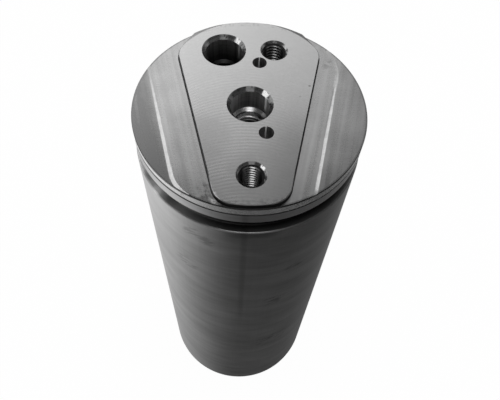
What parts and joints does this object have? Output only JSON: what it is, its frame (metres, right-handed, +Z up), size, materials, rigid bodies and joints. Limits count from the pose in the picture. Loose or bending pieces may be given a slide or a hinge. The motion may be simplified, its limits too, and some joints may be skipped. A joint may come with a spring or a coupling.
{
  "type": "receiver drier",
  "caption": "Aluminium receiver drier: a drawn cylindrical can closed by a rolled neck round a machined head with stepped ports, tapped holes and a tapered raised pad.",
  "frame": {"origin": "centre of the can's underside, where it stands", "axes": "+Z up along the can to the port face; +Y towards the wide end of the raised port pad, with the inlet port on the -X side"},
  "size_m": [0.0756, 0.0756, 0.205],
  "materials": {
    "head": "milled and turned, fine tool marks",
    "canister": "drawn, satin, faint lengthwise grain",
    "seal_rubber": "smooth moulded",
    "tube": "drawn, plain",
    "inner_steel": "pressed sheet, plain",
    "spring_steel": "drawn wire",
    "felt": "needled felt",
    "desiccant": "packed beads"
  },
  "bodies": {
    "root": {"head": "head", "canister": "canister", "head_seal": "seal_rubber", "pickup_tube": "tube", "tube_strainer": "inner_steel", "lower_plate": "inner_steel", "lower_filter": "felt", "desiccant_bed": "desiccant", "upper_filter": "felt", "upper_plate": "inner_steel", "compression_spring": "spring_steel"}
  },
  "joints": []
}
